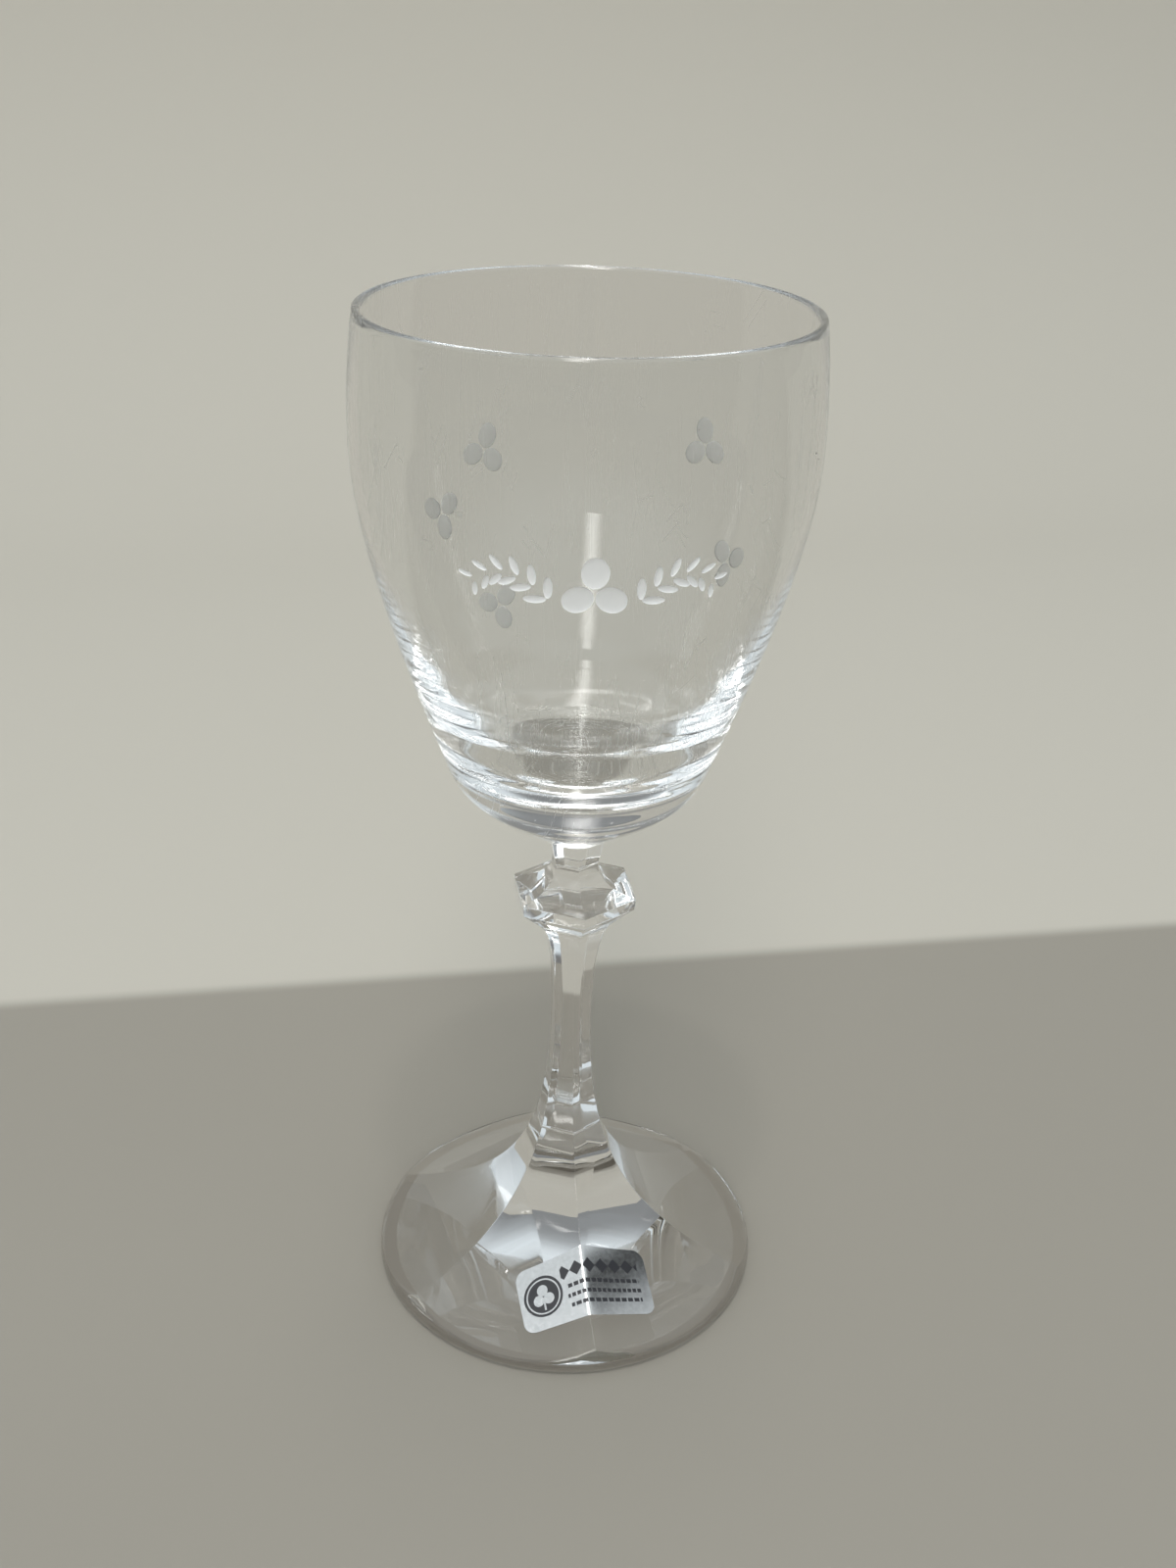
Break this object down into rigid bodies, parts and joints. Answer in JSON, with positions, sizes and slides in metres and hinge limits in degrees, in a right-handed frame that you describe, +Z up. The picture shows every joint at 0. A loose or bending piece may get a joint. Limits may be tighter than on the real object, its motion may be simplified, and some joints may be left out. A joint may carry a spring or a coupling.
{
  "type": "irish coffee glass",
  "caption": "Stemmed glass with a deep round bowl, a six-sided knop and stem, and a round foot with a six-sided flare and a foil label.",
  "frame": {"origin": "centre of the foot's underside, on the surface that the glass stands on", "axes": "+Z up along the axis of the bowl and stem, -Y towards the ridge of the foot that the label is folded over"},
  "size_m": [0.0728, 0.0728, 0.178],
  "materials": {
    "bowl_glass": "clear polished crystal, with frosted clover leaves cut into the back of the wall",
    "stem_glass": "clear pressed crystal, fire polished, with sharp ridges",
    "label_foil": "thin silver foil with dark printed rules",
    "label_glue": "thin dried adhesive"
  },
  "bodies": {
    "root": {"bowl": "bowl_glass", "neck": "stem_glass", "knop": "stem_glass", "stem": "stem_glass", "foot": "stem_glass", "foil_label": "label_foil", "label_adhesive": "label_glue"}
  },
  "joints": []
}
